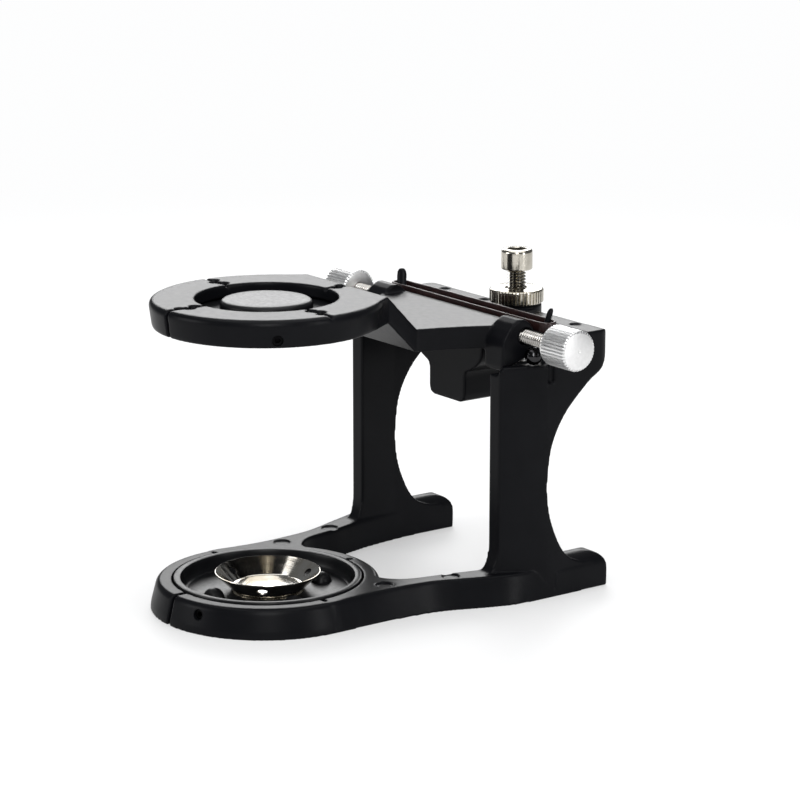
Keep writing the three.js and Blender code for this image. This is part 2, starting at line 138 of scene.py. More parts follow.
def solid(verts, faces):
    """A linked object with doubled points merged and its faces turned outwards."""
    mesh = bpy.data.meshes.new("solid")
    mesh.from_pydata(verts, [], faces)
    work = bmesh.new()
    work.from_mesh(mesh)
    bmesh.ops.remove_doubles(work, verts=work.verts, dist=1e-4)
    bmesh.ops.recalc_face_normals(work, faces=work.faces)
    work.to_mesh(mesh)
    work.free()
    obj = bpy.data.objects.new("solid", mesh)
    bpy.context.scene.collection.objects.link(obj)
    return obj


def loft(loops):
    """A closed solid through loops of equal length, with flat ends."""
    count = len(loops[0])
    verts = [point for loop in loops for point in loop]
    last = (len(loops) - 1) * count
    faces = [tuple(range(count - 1, -1, -1)), tuple(range(last, last + count))]
    for row in range(len(loops) - 1):
        for i in range(count):
            j = (i + 1) % count
            a = row * count
            faces.append((a + i, a + j, a + count + j, a + count + i))
    return solid(verts, faces)


def prism(outline, low, high, place=on_plan):
    return loft([[place(u, v, w) for u, v in outline] for w in (low, high)])


def box(x0, x1, y0, y1, z0, z1):
    return prism([(x0, y0), (x1, y0), (x1, y1), (x0, y1)], z0, z1)


def about_z(x, y):
    """Stands an axis upright at (x, y), for lathe, rod and threaded."""
    return lambda u, v, w: (x + u, y + v, w)


def about_x(y, z):
    """Lays an axis along X at (y, z)."""
    return lambda u, v, w: (w, y + u, z + v)


def lathe(profile, place, segments=144):
    """A profile of (radius, height) pairs turned about an axis; both ends lie on the axis."""
    rim = []
    for i in range(segments):
        angle = 2 * math.pi * i / segments
        rim.append((math.cos(angle), math.sin(angle)))
    verts = [place(0, 0, profile[0][1])]
    rows = profile[1:-1]
    for r, h in rows:
        verts += [place(r * c, r * s, h) for c, s in rim]
    verts.append(place(0, 0, profile[-1][1]))
    top = len(verts) - 1
    faces = []
    for i in range(segments):
        j = (i + 1) % segments
        faces.append((0, 1 + j, 1 + i))
        for row in range(len(rows) - 1):
            a = 1 + row * segments
            faces.append((a + i, a + j, a + segments + j, a + segments + i))
        a = 1 + (len(rows) - 1) * segments
        faces.append((a + i, a + j, top))
    return solid(verts, faces)


def rod(r, low, high, place, segments=64):
    return lathe([(0, low), (r, low), (r, high), (0, high)], place, segments)


def ball(r, x, y, z, rings=24):
    profile = [(0, z - r)]
    for i in range(1, rings):
        angle = -math.pi / 2 + math.pi * i / rings
        profile.append((r * math.cos(angle), z + r * math.sin(angle)))
    profile.append((0, z + r))
    return lathe(profile, about_z(x, y), 2 * rings)


def bake(obj):
    """Applies an object's modifiers to its mesh."""
    graph = bpy.context.evaluated_depsgraph_get()
    mesh = bpy.data.meshes.new_from_object(obj.evaluated_get(graph))
    obj.modifiers.clear()
    obj.data = mesh
    return obj


def drop(obj):
    bpy.data.objects.remove(obj, do_unlink=True)


def combine(obj, tools, operation):
    for tool in tools:
        step = obj.modifiers.new("combine", "BOOLEAN")
        step.operation = operation
        step.solver = "MANIFOLD"
        step.object = tool
    bake(obj)
    for tool in tools:
        drop(tool)
    return obj


def joined(obj, *tools):
    return combine(obj, tools, "UNION")


def cut(obj, *tools):
    return combine(obj, tools, "DIFFERENCE")


def kept_in(obj, tool):
    return combine(obj, [tool], "INTERSECT")


def turned_by(obj, degrees, x, y, z):
    """Turns a solid about Z at the origin, then moves it."""
    obj.data.transform(Matrix.Translation((x, y, z)) @ Matrix.Rotation(math.radians(degrees), 4, "Z"))
    return obj


def mirrored(obj):
    """A left-hand copy of a right-hand solid."""
    mesh = obj.data.copy()
    mesh.transform(Matrix.Scale(-1, 4, (1, 0, 0)))
    mesh.flip_normals()
    twin = bpy.data.objects.new("solid", mesh)
    bpy.context.scene.collection.objects.link(twin)
    return twin


def curve_through(points, steps):
    """Catmull-Rom curve through points of any dimension, `steps` to each stretch."""
    out = []
    for i in range(len(points) - 1):
        p0 = points[max(i - 1, 0)]
        p1, p2 = points[i], points[i + 1]
        p3 = points[min(i + 2, len(points) - 1)]
        for k in range(steps):
            t = k / steps
            out.append(tuple(
                0.5 * (2 * b + (c - a) * t + (2 * a - 5 * b + 4 * c - d) * t * t
                       + (3 * b - a - 3 * c + d) * t ** 3)
                for a, b, c, d in zip(p0, p1, p2, p3)))
    out.append(tuple(points[-1]))
    return out


def hexagon(r, u, v):
    return [(u + r * math.cos(k * math.pi / 3), v + r * math.sin(k * math.pi / 3)) for k in range(6)]


def horn(path, wide, thin, degrees, sides=24):
    """A flat-sided horn up a path, tapering to a rounded tip, its broad side turned by degrees."""
    taper, tip_share, blunt = 0.12, 0.12, 0.15
    c, s = math.cos(math.radians(degrees)), math.sin(math.radians(degrees))
    loops = []
    for i, (x, y, z) in enumerate(path):
        share = i / (len(path) - 1)
        tip = max(0.0, (share - (1 - tip_share)) / tip_share)
        size = (1 - taper * share) * math.sqrt(max(blunt, 1 - tip * tip))
        loop = []
        for k in range(sides):
            angle = 2 * math.pi * k / sides
            u, v = wide * size * math.cos(angle), thin * size * math.sin(angle)
            loop.append((x + u * c - v * s, y + u * s + v * c, z))
        loops.append(loop)
    return loft(loops)


def soft_casting(obj, passes=3):
    """One skin with the small round edges of a cast and painted part."""
    remesh = obj.modifiers.new("skin", "REMESH")
    remesh.mode = "VOXEL"
    remesh.voxel_size = VOXEL
    smooth = obj.modifiers.new("soften", "SMOOTH")
    smooth.factor = 0.5
    smooth.iterations = passes
    return bake(obj)


def knurled(outer, inner, count, u, v):
    """Outline of a straight-knurled wheel: broad teeth with narrow grooves between them."""
    outline = []
    for i in range(count):
        for part, share in ((0.0, 0), (0.14, 0.6), (0.26, 1), (0.74, 1), (0.86, 0.6)):
            angle = 2 * math.pi * (i + part) / count
            r = inner + (outer - inner) * share
            outline.append((u + r * math.cos(angle), v + r * math.sin(angle)))
    return outline


def threaded(r, depth, low, high, place, sides=48, per_turn=8):
    """A screw thread with a helical ridge that fades out at both chamfered ends."""
    chamfer, chamfer_rows, flank_slope = 0.3, 4, 1.5
    rows = round((high - low) / PITCH * per_turn)
    loops = []
    for row in range(rows + 1):
        h = low + (high - low) * row / rows
        fade = min(1.0, row / per_turn, (rows - row) / per_turn)
        ends = max(0.0, 1 - row / chamfer_rows) + max(0.0, 1 - (rows - row) / chamfer_rows)
        loop = []
        for k in range(sides):
            phase = (h / PITCH - k / sides) % 1.0
            groove = depth * min(1.0, flank_slope * (1 - abs(2 * phase - 1))) * fade
            angle = 2 * math.pi * k / sides
            edge = r - groove - chamfer * ends
            loop.append(place(edge * math.cos(angle), edge * math.sin(angle), h))
        loops.append(loop)
    return loft(loops)


# ---- materials ----------------------------------------------------------------------------
class Nodes:
    """Short names for building one material's nodes."""

    def __init__(self, name):
        self.material = bpy.data.materials.new(name)
        self.material.use_nodes = True
        self.tree = self.material.node_tree
        self.shader = self.tree.nodes["Principled BSDF"]
        self.place = self.add("ShaderNodeTexCoord").outputs["Object"]

    def add(self, kind, **settings):
        node = self.tree.nodes.new(kind)
        for key, value in settings.items():
            setattr(node, key, value)
        return node

    def link(self, start, end):
        self.tree.links.new(start, end)

    def grain(self, scale, detail=3.0, vector=None, roughness=0.5):
        """Noise of about `scale` spots to the metre."""
        node = self.add("ShaderNodeTexNoise")
        node.inputs["Scale"].default_value = scale
        node.inputs["Detail"].default_value = detail
        node.inputs["Roughness"].default_value = roughness
        self.link(vector or self.place, node.inputs["Vector"])
        return node.outputs["Fac"]

    def spread(self, value, low, high):
        """Stretches the middle of a noise from low to high."""
        node = self.add("ShaderNodeMapRange")
        node.inputs["From Min"].default_value = 0.3
        node.inputs["From Max"].default_value = 0.7
        node.inputs["To Min"].default_value = low
        node.inputs["To Max"].default_value = high
        self.link(value, node.inputs["Value"])
        return node.outputs["Result"]

    def tint(self, value, dark, light):
        """Colours the surface between two tones."""
        node = self.add("ShaderNodeValToRGB")
        node.color_ramp.elements[0].position = 0.3
        node.color_ramp.elements[0].color = (*dark, 1)
        node.color_ramp.elements[1].position = 0.7
        node.color_ramp.elements[1].color = (*light, 1)
        self.link(value, node.inputs["Fac"])
        self.link(node.outputs["Color"], self.shader.inputs["Base Color"])

    def paint_shade_inside(self, ring, radius):
        """Darkens the colour within `radius` of the axis that `ring` measures from: painted shade for
        grooves and hollows.
        """
        parts = self.add("ShaderNodeSeparateXYZ")
        self.link(ring, parts.inputs["Vector"])
        share = self.add("ShaderNodeMapRange")
        share.inputs["From Min"].default_value = radius - 0.2 * MM
        share.inputs["From Max"].default_value = radius + 0.15 * MM
        share.inputs["To Min"].default_value = 0.24
        self.link(parts.outputs["Y"], share.inputs["Value"])
        scale = self.add("ShaderNodeVectorMath", operation="SCALE")
        colour = self.shader.inputs["Base Color"].links[0].from_socket
        self.link(colour, scale.inputs[0])
        self.link(share.outputs["Result"], scale.inputs["Scale"])
        self.link(scale.outputs["Vector"], self.shader.inputs["Base Color"])

    def bump(self, height, distance, strength=1.0):
        node = self.add("ShaderNodeBump")
        node.inputs["Distance"].default_value = distance
        node.inputs["Strength"].default_value = strength
        self.link(height, node.inputs["Height"])
        self.link(node.outputs["Normal"], self.shader.inputs["Normal"])

    def rough(self, value):
        self.link(value, self.shader.inputs["Roughness"])

    def rings(self, axis, centre):
        """A coordinate that changes only with distance along and from an axis, for lathe marks."""
        offset = self.add("ShaderNodeVectorMath", operation="SUBTRACT")
        offset.inputs[1].default_value = centre
        self.link(self.place, offset.inputs[0])
        parts = self.add("ShaderNodeSeparateXYZ")
        self.link(offset.outputs["Vector"], parts.inputs["Vector"])
        across = self.add("ShaderNodeCombineXYZ")
        for name in "XYZ":
            if name != axis:
                self.link(parts.outputs[name], across.inputs[name])
        length = self.add("ShaderNodeVectorMath", operation="LENGTH")
        self.link(across.outputs["Vector"], length.inputs[0])
        out = self.add("ShaderNodeCombineXYZ")
        self.link(parts.outputs[axis], out.inputs["X"])
        self.link(length.outputs["Value"], out.inputs["Y"])
        return out.outputs["Vector"]


def black_paint():
    m = Nodes("black_paint")
    m.tint(m.grain(90, 4.0), (0.0032, 0.0034, 0.0043), (0.0048, 0.005, 0.0062))
    m.rough(m.spread(m.grain(700, 2.0), 0.31, 0.34))
    m.bump(m.grain(3000, 2.0), 0.000005, 0.5)
    m.shader.inputs["IOR"].default_value = 1.18
    return m.material


def black_plastic():
    m = Nodes("black_plastic")
    m.tint(m.grain(140, 3.0), (0.0045, 0.0046, 0.0054), (0.0075, 0.0077, 0.0088))
    m.rough(m.spread(m.grain(1200, 3.0), 0.3, 0.38))
    m.bump(m.grain(3600, 2.0), 0.000005, 0.5)
    m.shader.inputs["IOR"].default_value = 1.265
    return m.material


def turned_metal(name, tones, rough, axis, marks=3000, depth=0.000002, groove=None, spots=900):
    """`groove` is a radius in metres inside which painted shade darkens the metal's colour."""
    m = Nodes(name)
    ring = m.rings(*axis)
    lines = m.grain(marks, 2.0, ring)
    m.tint(m.grain(spots, 3.0), *tones)
    # Painted shade: the colour darkens inside the `groove` radius.
    if groove:
        m.paint_shade_inside(ring, groove)
    m.rough(m.spread(lines, *rough))
    m.bump(lines, depth, 0.6)
    m.shader.inputs["Metallic"].default_value = 1.0
    return m.material


def plain_metal(name, tones, rough, bump=0.000008):
    m = Nodes(name)
    m.tint(m.grain(500, 4.0), *tones)
    m.rough(m.spread(m.grain(2200, 3.0), *rough))
    m.bump(m.grain(5200, 2.0), bump, 0.5)
    m.shader.inputs["Metallic"].default_value = 1.0
    return m.material


def band_rubber():
    m = Nodes("band_rubber")
    m.tint(m.grain(700, 4.0), (0.009, 0.0045, 0.0045), (0.022, 0.0075, 0.007))
    m.rough(m.spread(m.grain(1800, 3.0), 0.26, 0.4))
    m.bump(m.grain(4200, 3.0), 0.00004, 0.6)
    return m.material


PAINT = black_paint()
PLASTIC = black_plastic()
RUBBER = band_rubber()
SCREW_AXIS = ("Z", (0, SCREW_Y * MM, 0))
HINGE_AXIS = ("X", (0, HINGE_Y * MM, HINGE_Z * MM))
CUP_AXIS = ("Z", (0, LOWER_Y * MM, 0))
NICKEL_TONES = ((0.56, 0.53, 0.46), (0.69, 0.655, 0.58))
NICKEL_ROUGH = (0.13, 0.2)
NICKEL = turned_metal("nickel_turned", NICKEL_TONES, NICKEL_ROUGH, SCREW_AXIS)
# Painted shade darkens the height screw's thread grooves and its hex socket.
NICKEL_THREAD = turned_metal(
    "nickel_thread", NICKEL_TONES, NICKEL_ROUGH, SCREW_AXIS, groove=(SCREW_R - 0.3) * MM)
ALLOY = turned_metal(
    "alloy_turned", ((0.88, 0.88, 0.88), (0.96, 0.96, 0.96)), (0.36, 0.46), HINGE_AXIS,
    marks=2200, depth=0.000006)
# Painted shade darkens the studs' thread grooves.
STUD_STEEL = turned_metal(
    "stud_steel", ((0.5, 0.48, 0.45), (0.62, 0.6, 0.57)), (0.2, 0.28), HINGE_AXIS,
    groove=(STUD_R - 0.22) * MM)
CHROME = turned_metal(
    "cup_chrome", ((0.62, 0.56, 0.46), (0.95, 0.94, 0.91)), (0.08, 0.16), CUP_AXIS,
    marks=1600, depth=0.00001, spots=130)
# Painted shade: the bearing balls are coloured near-black as if sunk in the shade of their cavity, so
# that only a glint shows.
BALL_STEEL_PAINTED_SHADE = plain_metal(
    "ball_steel", ((0.03, 0.03, 0.032), (0.05, 0.05, 0.052)), (0.1, 0.16), bump=0.000002)
MAGNET = plain_metal("magnet_nickel", ((0.52, 0.46, 0.36), (0.64, 0.57, 0.45)), (0.2, 0.3))
DARK_STEEL = plain_metal("dark_steel", ((0.005, 0.005, 0.0055), (0.009, 0.009, 0.01)), (0.4, 0.55))


# ---- finishing a piece --------------------------------------------------------------------
def finish(obj, name, material, body, crease=35):
    """Scales a solid to metres and hands it to the frame. Edges over `crease` degrees stay sharp."""
    mesh = obj.data
    mesh.transform(Matrix.Scale(MM, 4))
    mesh.name = name
    obj.name = name
    mesh.materials.clear()
    mesh.materials.append(material)
    mesh.shade_smooth()
    if crease:
        mesh.set_sharp_from_angle(angle=math.radians(crease))
        weighted = obj.modifiers.new("weighted", "WEIGHTED_NORMAL")
        weighted.keep_sharp = True
        bake(obj)
    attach(obj, body)
    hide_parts(name.replace("_look", ""))
    return obj


# ---- lower frame --------------------------------------------------------------------------
# Each leg outline is (x, y) at the floor paired with (x, y) at the top face.
LEG_OUTER = [
    (24.0, -34.0, 23.0, -33.0), (28.6, -28.0, 26.8, -27.5), (28.5, -20.0, 26.3, -20.5),
    (28.4, -13.4, 25.8, -14.0), (28.7, -6.0, 26.0, -7.5), (29.4, 0.8, 26.9, 1.0),
    (30.7, 6.0, 28.4, 6.4), (32.5, 10.6, 30.3, 11.2), (34.7, 16.4, 32.4, 16.8),
    (36.0, 21.0, 34.0, 21.4), (36.4, 26.0, 34.8, 26.4), (36.4, 34.0, 35.2, 34.0),
    (36.4, 42.0, 35.4, 42.0),
]
LEG_INNER = [
    (27.7, 42.0, 28.2, 42.0), (27.4, 35.0, 28.0, 35.0), (26.5, 27.0, 27.3, 27.0),
    (25.4, 20.0, 26.4, 19.6), (24.2, 15.0, 25.3, 14.6), (22.8, 10.0, 24.0, 9.6),
    (21.8, 5.0, 23.0, 4.4), (21.0, 0.8, 21.9, 0.0), (19.2, -2.6, 19.9, -3.4),
    (16.6, -4.6, 16.8, -5.6), (12.0, -5.4, 12.0, -6.4), (13.0, -14.0, 13.0, -14.0),
    (20.0, -24.0, 20.0, -24.0),
]


def leg():
    ring = curve_through(LEG_OUTER, 5) + curve_through(LEG_INNER, 5)
    loops = []
    for share, z in ((0, 0), (0.8, 6.3), (0.95, 7.0), (1.15, LOWER_TOP)):
        loops.append([(bx + (tx - bx) * share, by + (ty - by) * share, z) for bx, by, tx, ty in ring])
    return loft(loops)


def foot():
    """Rounded along its top and over its rear end."""
    rear_end = curve_through([
        (50.2, 0.0), (50.3, 3.8), (50.0, 5.9), (49.1, 7.6), (47.3, 8.7), (45.0, FOOT_TOP)], 6)
    across = curve_through([
        (36.3, 0.0), (36.3, 5.0), (35.9, 6.8), (34.6, 8.3), (32.4, FOOT_TOP), (30.2, 8.9), (28.6, 7.6),
        (27.8, 5.8), (27.8, 0.0)], 6)
    length = prism([(34, 0), *rear_end, (34, FOOT_TOP)], 27, 37, on_side)
    return kept_in(length, prism(across, 33, 51, on_front))


def cheek():
    rear = curve_through([
        (50.1, 61.9), (49.7, 58.9), (48.6, 56.7), (46.9, 55.0), (44.6, 53.6), (41.3, 50.8),
        (36.1, 45.4), (32.6, 38.6), (31.4, 31.0), (31.4, 25.0), (32.6, 19.0), (35.4, 12.6),
        (38.6, 9.0), (43.0, 7.3)], 8)
    fillet = curve_through([(16.8, 7.0), (18.3, 7.9), (19.3, 9.8), (19.8, 12.4), (19.9, 15.6)], 4)
    side = [
        (16.8, 0), (46, 0), (46, 7.0), *reversed(rear),
        (50.1, 64.4), (49.4, 65.3), (48.4, BAR_TOP), (43.2, BAR_TOP), (BAR_FRONT, 64.6),
        (BAR_FRONT, CHEEK_TOP), (20.9, CHEEK_TOP), (19.9, 57.7), *reversed(fillet)]
    face = curve_through([
        (30.4, 16.8), (31.0, 19.4), (31.9, 21.2), (33.7, 25.0), (35.5, 30.0), (36.0, 33.0), (36.0, 41.0),
        (36.0, 46.4), (35.7, 48.3), (34.9, 49.6), (33.4, 50.2)], 6)
    plan = [(26.6, 16.8), *face, (27.8, 50.2), (27.8, 31.0)]
    return kept_in(prism(side, 26, 36.5, on_side), prism(plan, -1, 70))


def hook():
    path = curve_through([
        (29.4, 34.6, 57.9), (29.5, 34.5, 63.0), (HOOK_X, HOOK_Y, 66.8), (31.0, 35.6, 71.6)], 8)
    return horn(path, HOOK_WIDE, HOOK_THIN, HOOK_TURN)


def set_screw_hole(degrees, y, z):
    """A hole through a ring's wall, on the line of its set screw."""
    return turned_by(rod(SET_HOLE_R, 22, 30, about_x(0, 0), 32), degrees, 0, y, z)


def lower_notch(degrees):
    """A small notch in the top face, beside the plate's rim."""
    return turned_by(box(BORE_R - 0.5, 25.2, -0.5, 0.5, 6.2, 9), degrees, 0, LOWER_Y, 0)


def base_frame():
    ring = lathe([
        (0, 0), (LOWER_R, 0), (LOWER_R - 0.2, 1.6), (27.3, 6.2), (26.8, 6.9), (26.2, LOWER_TOP),
        (0, LOWER_TOP)], about_z(0, LOWER_Y), 192)
    lug_room = box(26, 30.3, 19, 33, 56.6, 60)
    side_slot = box(35.0, 37, 31.0, 32.9, 54.2, 60)
    dimples = [rod(2.2, LOWER_TOP - 0.5, 9, about_z(x, y), 40) for x, y in ((22.4, -8.3), (26.1, 9.0))]
    flank = cut(
        joined(leg(), foot(), cheek(), hook()), lug_room, ball(BALL_R + GAP, *BALL), side_slot, *dimples)
    bar = joined(
        prism([
            (BAR_FRONT, BAR_LOW), (BAR_REAR, BAR_LOW), (BAR_REAR, 64.6), (48.8, BAR_TOP),
            (43.2, BAR_TOP), (BAR_FRONT, 64.6)], -30, 30, on_side),
        rod(6.4, BAR_LOW, BAR_TOP + 0.5, about_z(0, SCREW_Y)))
    body = joined(ring, mirrored(flank), flank, bar)
    tools = [
        rod(BORE_R, 2.0, 9, about_z(0, LOWER_Y), 192),
        rod(LEDGE_R, -1, 9, about_z(0, LOWER_Y), 192),
        box(-SLIT / 2, SLIT / 2, -57, -45, -1, 9),
        rod(SCREW_R + GAP, BAR_LOW - 1, BAR_TOP + 2, about_z(0, SCREW_Y))]
    tools += [lower_notch(degrees) for degrees in (0, 90, 180)]
    tools += [rod(1.5, BAR_TOP - 0.5, BAR_TOP + 1, about_z(x, 46.6), 32) for x in (-27, -10, 10, 27)]
    soft_casting(cut(body, *tools))
    cut(body, set_screw_hole(LOWER_SET_DEGREES, LOWER_Y, LOWER_SET_Z))
    finish(body, "base_frame_look", PAINT, "frame", crease=60)


# ---- upper frame --------------------------------------------------------------------------
def lug():
    side = [
        (22.0, 57.2), (30.0, 60.4), (31.2, 61.6), (31.7, 63.0), (31.6, 65.6), (31.0, 67.1),
        (30.1, 68.2), (29.2, 69.0), (28.2, 69.4), (26.8, 69.5), (25.0, 68.6), (23.4, 67.0),
        (22.2, 65.2), (21.7, 63.4), (21.5, 58.0)]
    return prism(side, 22.7, 29.9, on_side)


def tail():
    flare = curve_through([
        (TAIL_X, 51.0), (8.1, 52.4), (10.6, 53.6), (12.9, 55.2), (14.2, 57.4), (14.8, PLATE_LOW + 1)], 5)
    right = [(5.6, TAIL_LOW), (6.9, 44.8), (TAIL_X, 46.2), *flare]
    left = [(-x, z) for x, z in reversed(right)]
    hanging = prism([*right, *left], 27.0, 37.0, on_front)
    return joined(hanging, box(-TAIL_X, TAIL_X, 36.0, 53.0, TAIL_LOW + 0.6, TAIL_TOP))


def wavy_groove(degrees):
    narrow = box(OPENING_R - 1, 29, -0.4, 0.4, UPPER_TOP - 0.9, UPPER_TOP + 1)
    low, high = UPPER_TOP - 1.3, UPPER_TOP + 1
    wide = joined(
        rod(1.35, low, high, about_z(19.9, -0.5), 32),
        rod(1.35, low, high, about_z(22.0, 0.6), 32),
        rod(1.15, low, high, about_z(24.1, -0.5), 32))
    return turned_by(joined(narrow, wide), degrees, 0, UPPER_Y, 0)


def upper_frame():
    ring = lathe([
        (0, UPPER_LOW), (27.2, UPPER_LOW), (27.5, 70.8), (28.1, 75.4), (27.8, 76.3), (27.0, UPPER_TOP),
        (0, UPPER_TOP)], about_z(0, UPPER_Y), 192)
    half = [
        (0, 33), (24.4, PLATE_REAR + 1), (24.4, 25.2), (20.9, 18.6), (18.0, 11.6), (16.3, 6.0),
        (17.3, FOLD_Y), (21.6, -9.8), (24.0, -14.0), (20.0, -24.0)]
    plan = [*half, *[(-x, y) for x, y in reversed(half[1:])]]
    side = [
        (-60, UPPER_LOW), (FOLD_Y + 0.4, UPPER_LOW), (5.6, PLATE_LOW), (PLATE_REAR, PLATE_LOW),
        (PLATE_REAR, PLATE_TOP), (6.0, PLATE_TOP), (FOLD_Y, UPPER_TOP), (-60, UPPER_TOP)]
    body = kept_in(joined(ring, prism(plan, 60, 78)), prism(side, -31, 31, on_side))
    right = lug()
    joined(body, mirrored(right), right, tail())
    pivots = [rod(STUD_R + GAP, a, b, about_x(HINGE_Y, HINGE_Z)) for a, b in ((21, 31), (-31, -21))]
    grooves = [wavy_groove(degrees) for degrees in (0, 90, 180, 270)]
    cut(
        body,
        rod(OPENING_R, UPPER_LOW - 1, UPPER_TOP + 1, about_z(0, UPPER_Y), 192),
        rod(SOCKET_R, UPPER_LOW - 1, SOCKET_TOP, about_z(0, UPPER_Y), 192),
        box(-SLIT / 2, SLIT / 2, -56, -40, UPPER_LOW - 1, UPPER_TOP + 1),
        rod(2.6 + GAP, TAIL_TOP - 1.2, TAIL_TOP + 1, about_z(0, SCREW_Y)),
        *pivots, *grooves)
    soft_casting(body)
    cut(body, set_screw_hole(UPPER_SET_DEGREES, UPPER_Y, UPPER_SET_Z))
    finish(body, "upper_frame_look", PAINT, "upper", crease=60)


# ---- plates and cup -----------------------------------------------------------------------
def lower_plate():
    dish = lathe([
        (0, 0.5), (10.6, 0.5), (11.0, 0.9), (11.0, 2.3), (22.9, 2.3), (23.1, 2.5), (23.1, 7.1),
        (22.9, 7.45), (22.5, 7.6), (21.8, 7.6), (21.4, 7.45), (21.15, 7.0), (21.1, 6.1),
        (20.9, 5.0), (20.6, 4.3), (20.1, 3.95), (19.6, 3.9), (0, 3.9)], about_z(0, LOWER_Y), 192)
    domes = []
    for quarter in range(4):
        angle = math.radians(-98 + 90 * quarter)
        domes.append(ball(2.7, 14.5 * math.cos(angle), LOWER_Y + 14.5 * math.sin(angle), 3.5))
    bumps = kept_in(joined(domes[0], *domes[1:]), rod(20, 3.0, 9, about_z(0, LOWER_Y)))
    cut(
        joined(dish, bumps),
        rod(MAGNET_R + GAP, 1.3, 9, about_z(0, LOWER_Y), 128),
        rod(MAGNET_SCREW_R + GAP, 0, 3, about_z(0, LOWER_Y)))
    finish(dish, "lower_mounting_plate_look", PLASTIC, "lower_plate")


def retention_cup():
    shell = lathe([
        (0, 4.3), (8.4, 4.3), (8.8, 4.4), (9.1, 4.62), (12.55, 7.95), (12.86, 8.3), (12.9, 8.48),
        (12.84, 8.58), (12.74, 8.6), (12.6, 8.5), (12.3, 8.2), (8.85, 5.1), (8.5, 4.9),
        (8.1, 4.82), (0, 4.8)], about_z(0, LOWER_Y), 192)
    wall_middle = Matrix.Translation((10.6, 0, 6.7))
    holes = []
    for third in range(3):
        drill = rod(1.2, -4, 4, about_x(0, 0), 40)
        drill.data.transform(wall_middle @ Matrix.Rotation(math.pi / 4, 4, "Y"))
        holes.append(turned_by(drill, 80 + 120 * third, 0, LOWER_Y, 0))
    cut(shell, *holes)
    finish(shell, "retention_cup_look", CHROME, "cup")


def upper_plate():
    back = lathe([
        (0, 70.3), (22.2, 70.3), (22.6, 70.7), (22.6, 73.1), (22.4, 73.3), (11.6, 73.3),
        (11.25, 73.45), (11.2, 73.8), (11.15, 75.3), (10.95, 75.8), (10.5, 76.15), (9.8, 76.32),
        (8.0, 76.38), (0, 76.4)], about_z(0, UPPER_Y), 192)
    cut(
        back,
        rod(MAGNET_R + GAP, 69, 73.2, about_z(0, UPPER_Y), 128),
        rod(MAGNET_SCREW_R + GAP, 70, 75.0, about_z(0, UPPER_Y)))
    finish(back, "upper_mounting_plate_look", PLASTIC, "upper_plate")


# ---- screws, nut, knobs and band ----------------------------------------------------------
def height_screw():
    shank = threaded(SCREW_R, 0.6, SCREW_LOW, SCREW_NECK + 0.3, about_z(0, SCREW_Y))
    head = lathe([
        (0, SCREW_NECK), (3.7, SCREW_NECK), (3.92, SCREW_NECK + 0.12), (4.0, SCREW_NECK + 0.35),
        (4.0, 79.2), (3.9, 79.6), (3.6, 79.92), (3.3, SCREW_TOP), (0, SCREW_TOP)],
        about_z(0, SCREW_Y), 96)
    cut(head, prism(hexagon(2.55, 0, SCREW_Y), 76.4, 81), lathe(
        [(0, 79.75), (2.4, 79.75), (2.65, 80.1), (0, 80.1)], about_z(0, SCREW_Y)))
    joined(shank, head)
    finish(shank, "height_screw_look", NICKEL_THREAD, "height_screw")


def lock_nut():
    blank = kept_in(
        prism(knurled(NUT_R, NUT_R - 0.42, 46, 0, SCREW_Y), NUT_LOW - 1, NUT_TOP + 1),
        lathe([
            (0, NUT_LOW), (NUT_R - 0.55, NUT_LOW), (NUT_R - 0.2, NUT_LOW + 0.2), (NUT_R, NUT_LOW + 0.5),
            (NUT_R, NUT_TOP - 0.5), (NUT_R - 0.2, NUT_TOP - 0.2), (NUT_R - 0.6, NUT_TOP), (0, NUT_TOP)],
            about_z(0, SCREW_Y), 184))
    cut(
        blank,
        rod(SCREW_R + 0.15, NUT_LOW - 1, NUT_TOP + 1, about_z(0, SCREW_Y)),
        lathe([(0, NUT_TOP - 0.4), (2.6, NUT_TOP - 0.4), (3.2, NUT_TOP + 0.1), (0, NUT_TOP + 0.1)],
              about_z(0, SCREW_Y)))
    finish(blank, "lock_nut_look", NICKEL, "lock_nut")


def knob():
    """The knurl runs the whole length and fades out on the shoulder round the flat end."""
    place = about_x(HINGE_Y, HINGE_Z)
    teeth = knurled(KNOB_R, KNOB_R - 0.7, 38, HINGE_Y, HINGE_Z)
    outline = lathe([
        (0, KNOB_IN), (4.3, KNOB_IN), (4.7, KNOB_IN + 0.12), (KNOB_R, KNOB_IN + 0.45),
        (KNOB_R, KNOB_OUT - 0.65), (4.82, KNOB_OUT - 0.32), (4.55, KNOB_OUT - 0.1),
        (4.25, KNOB_OUT), (0, KNOB_OUT)], place, 190)
    blank = kept_in(prism(teeth, KNOB_IN - 1, KNOB_OUT + 1, on_side), outline)
    dimple = lathe([
        (0, KNOB_OUT - 0.15), (0.35, KNOB_OUT - 0.1), (0.42, KNOB_OUT + 0.1), (0, KNOB_OUT + 0.1)], place)
    return cut(blank, rod(STUD_R + 0.1, KNOB_IN - 1, STUD_OUT + 0.3, place), dimple)


def thumbscrews():
    place = about_x(HINGE_Y, HINGE_Z)
    for side in ("right", "left"):
        body = f"thumbscrew_{side}"
        grip = knob()
        shank = threaded(STUD_R, 0.28, STUD_IN, STUD_OUT, place, sides=40)
        seat = ball(BALL_R, *BALL)
        if side == "left":
            right_hand = (grip, shank, seat)
            grip, shank, seat = [mirrored(obj) for obj in right_hand]
            for obj in right_hand:
                drop(obj)
        finish(grip, f"thumbscrew_knob_{side}_look", ALLOY, body)
        finish(shank, f"thumbscrew_stud_{side}_look", STUD_STEEL, body)
        finish(seat, f"bearing_ball_{side}_look", BALL_STEEL_PAINTED_SHADE, "frame", crease=0)


